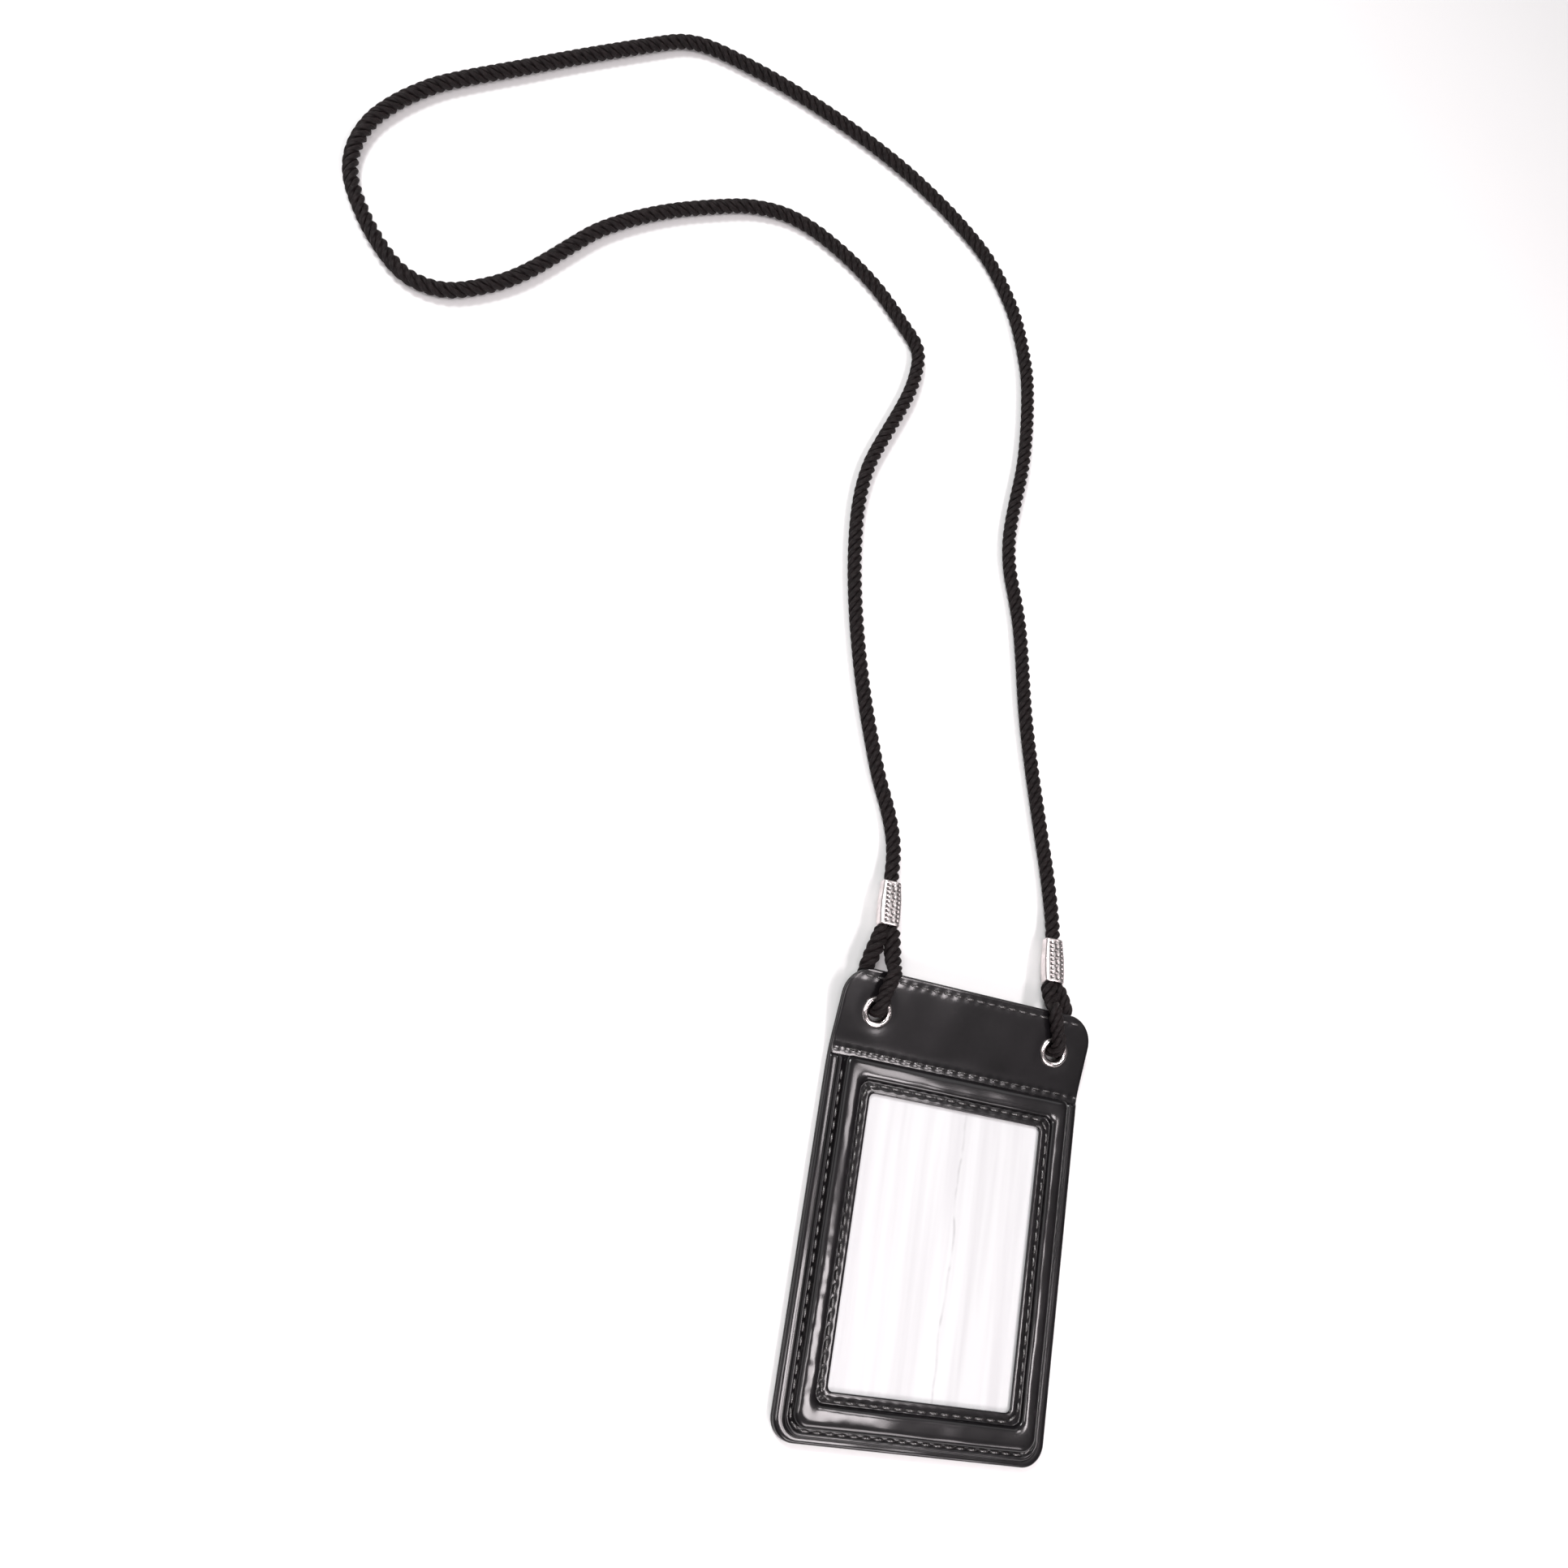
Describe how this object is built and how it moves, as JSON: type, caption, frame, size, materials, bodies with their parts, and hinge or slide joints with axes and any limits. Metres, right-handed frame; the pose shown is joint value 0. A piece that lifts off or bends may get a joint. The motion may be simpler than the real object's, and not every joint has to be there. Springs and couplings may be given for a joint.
{
  "type": "neck pouch wallet",
  "caption": "Slim leather card pouch with a padded stitched window frame and metal eyelets, hung on a long twisted neck cord crimped in metal ferrules.",
  "frame": {"origin": "centre of the pouch's back face between its side edges, on the plane it lies on", "axes": "+Z out of the window, +Y from the pouch's foot towards its eyelets and cord, +X to the right as the window is read"},
  "size_m": [0.2531, 0.3935, 0.0114],
  "materials": {
    "front_leather": "smooth black coated leather with a fine grain and a soft sheen",
    "back_leather": "plain black coated leather",
    "fibre_board": "bare pressed board",
    "lining_cloth": "matte woven lining",
    "padding_foam": "soft open foam",
    "clear_film": "clear flexible plastic sheet",
    "insert_paper": "plain white card",
    "nickel": "bright nickel plate",
    "cord_yarn": "twisted black-brown yarn",
    "sewing_thread": "waxed black thread"
  },
  "bodies": {
    "pouch": {"back_panel": "back_leather", "stiffener_board": "fibre_board", "front_panel": "front_leather", "pocket_lining": "lining_cloth", "window_frame": "front_leather", "frame_padding": "padding_foam", "window_film": "clear_film", "left_eyelet": "nickel", "right_eyelet": "nickel", "left_eyelet_washer": "nickel", "right_eyelet_washer": "nickel", "left_cord_loop": "cord_yarn", "right_cord_loop": "cord_yarn", "header_top_thread": "sewing_thread", "header_seam_thread": "sewing_thread", "window_thread": "sewing_thread", "frame_thread": "sewing_thread"},
    "card": {"insert_card": "insert_paper"},
    "cord": {"neck_cord": "cord_yarn", "left_ferrule": "nickel", "right_ferrule": "nickel"}
  },
  "joints": [
    {"name": "card_slide", "type": "slide", "parent": "pouch", "child": "card", "axis": [0, 1, 0], "range_m": [0, 0.006]},
    {"name": "cord_bend", "type": "hinge", "parent": "pouch", "child": "cord", "pos_m": [0, 0.0636, 0.0068], "axis": [1, 0, 0], "range_deg": [0, 90]}
  ]
}
